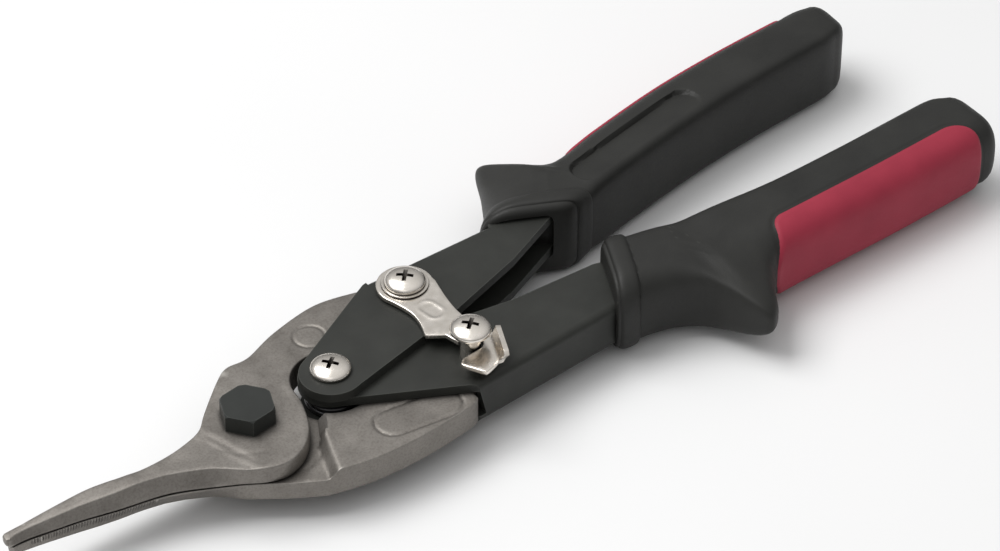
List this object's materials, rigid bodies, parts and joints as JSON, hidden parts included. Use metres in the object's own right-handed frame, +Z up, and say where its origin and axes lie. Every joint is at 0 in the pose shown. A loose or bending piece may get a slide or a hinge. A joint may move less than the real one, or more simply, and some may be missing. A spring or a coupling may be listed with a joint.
{
  "type": "aviation snips",
  "caption": "Compound-leverage sheet-metal shears with straight jaws, linked blades, folded sheet handles, moulded grips with soft inserts, and a swinging hook latch.",
  "frame": {"origin": "on the main pivot bolt's axis, at the shear plane between the two blades", "axes": "+X from the main bolt towards the grips, +Y towards the thumb handle, +Z up along the bolt towards its head; the snips are latched closed at rest"},
  "size_m": [0.2598, 0.0802, 0.0246],
  "materials": {
    "forged_steel": "forged and tumbled, warm grey, satin",
    "oxide_steel": "black oxide, fine satin texture",
    "bolt_black": "black oxide, satin",
    "nickel": "nickel plated, semi-bright",
    "spring_steel": "dark oiled spring wire",
    "grip_black": "fine matt moulded texture",
    "insert_red": "soft matt crimson overmould"
  },
  "bodies": {
    "finger_handle": {"finger_handle": "oxide_steel", "finger_grip": "grip_black", "finger_grip_insert": "insert_red", "front_pivot_screw": "nickel", "front_pivot_bush": "nickel", "front_pivot_nut": "nickel", "return_spring": "spring_steel", "latch_post_screw": "nickel", "finger_link_bush": "nickel", "finger_link_nut": "nickel"},
    "thumb_handle": {"thumb_handle": "oxide_steel", "thumb_grip": "grip_black", "thumb_grip_insert": "insert_red", "thumb_link_screw": "nickel", "thumb_link_bush": "nickel", "thumb_link_nut": "nickel", "latch_washer": "nickel", "latch_spring_washer": "nickel"},
    "lower_blade": {"lower_blade": "forged_steel", "main_bolt": "bolt_black", "main_washer": "bolt_black", "main_nut": "bolt_black"},
    "upper_blade": {"upper_blade": "forged_steel"},
    "latch": {"latch": "nickel"}
  },
  "joints": [
    {"name": "handles_open", "type": "hinge", "parent": "finger_handle", "child": "thumb_handle", "pos_m": [0.022, 0, 0], "axis": [0, 0, 1], "range_deg": [0, 40], "deforming": ["return_spring"]},
    {"name": "lower_blade_link", "type": "hinge", "parent": "finger_handle", "child": "lower_blade", "pos_m": [0.051, -0.0125, 0], "axis": [0, 0, 1], "range_deg": [0, 9.26]},
    {"name": "upper_blade_link", "type": "hinge", "parent": "thumb_handle", "child": "upper_blade", "pos_m": [0.051, 0.0125, 0], "axis": [0, 0, 1], "range_deg": [-9.26, 0]},
    {"name": "latch_swing", "type": "hinge", "parent": "thumb_handle", "child": "latch", "pos_m": [0.051, 0.0125, 0], "axis": [0, 0, 1], "range_deg": [0, 80]}
  ],
  "couplings": [
    {"joint": "lower_blade_link", "follows": "handles_open", "ratio": 0.2315},
    {"joint": "upper_blade_link", "follows": "handles_open", "ratio": -0.2315},
    {"joint": "latch_swing", "follows": "handles_open", "ratio": 2}
  ]
}
